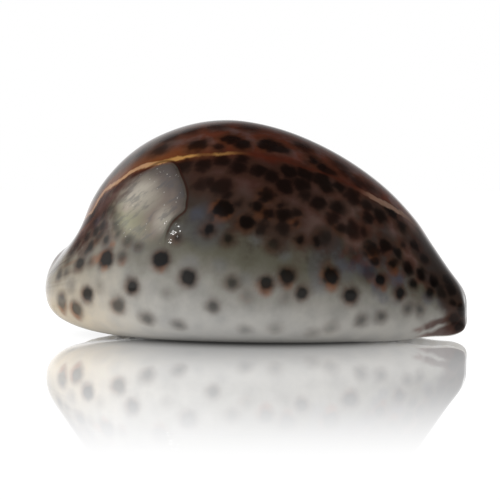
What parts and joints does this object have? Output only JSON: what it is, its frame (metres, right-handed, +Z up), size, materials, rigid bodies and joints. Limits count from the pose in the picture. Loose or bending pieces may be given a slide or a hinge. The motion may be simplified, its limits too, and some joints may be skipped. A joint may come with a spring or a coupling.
{
  "type": "tiger cowrie shell",
  "caption": "Egg-shaped hollow sea shell with a glossy spotted dome, a flattened white base and a long toothed aperture underneath that opens into a canal at each end.",
  "frame": {"origin": "under the middle of the shell's bounding box, on the surface it rests on", "axes": "+X to the front (anterior) end, +Z up out of the dome, and the outer lip's side is -Y"},
  "size_m": [0.0804, 0.054, 0.0409],
  "materials": {
    "shell": "naturally polished aragonite: dark brown and bluish spots over a mauve-brown dome and a creamy white base"
  },
  "bodies": {
    "root": {"cowrie_shell": "shell"}
  },
  "joints": []
}
